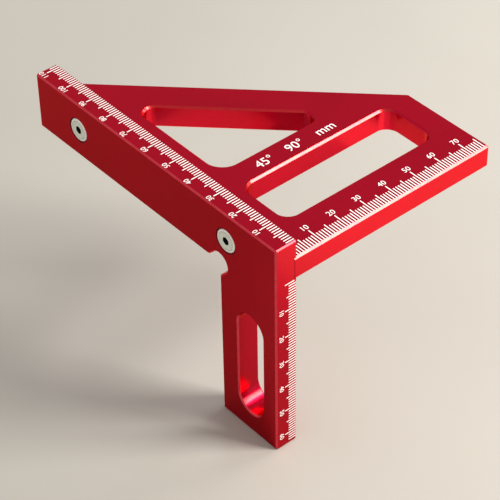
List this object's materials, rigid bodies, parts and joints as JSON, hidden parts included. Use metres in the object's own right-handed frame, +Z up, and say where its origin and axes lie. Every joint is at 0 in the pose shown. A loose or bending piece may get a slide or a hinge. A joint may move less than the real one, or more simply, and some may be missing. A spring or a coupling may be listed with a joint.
{
  "type": "speed square",
  "caption": "Small red aluminium speed square with a windowed triangular ruler plate and an L-shaped fence whose leg drops down the face of the timber, held by countersunk screws.",
  "frame": {"origin": "the ruling corner: the ruling face, the fence's back face and the plate's underside meet there, and all three scales start there", "axes": "+X out of the ruling face (the fence runs along -X), +Y out of the fence's back face and along the ruler arm, +Z up out of the plate's top; the leg hangs along -Z"},
  "size_m": [0.112, 0.0846, 0.079],
  "materials": {
    "fence_red": "satin red anodised, white laser-marked millimetre scales",
    "plate_red": "satin red anodised, white laser-marked millimetre scale",
    "screw_steel": "dull plated steel, bright turned rim"
  },
  "bodies": {
    "root": {"fence": "fence_red", "plate": "plate_red", "screw_left": "screw_steel", "screw_right": "screw_steel"}
  },
  "joints": []
}
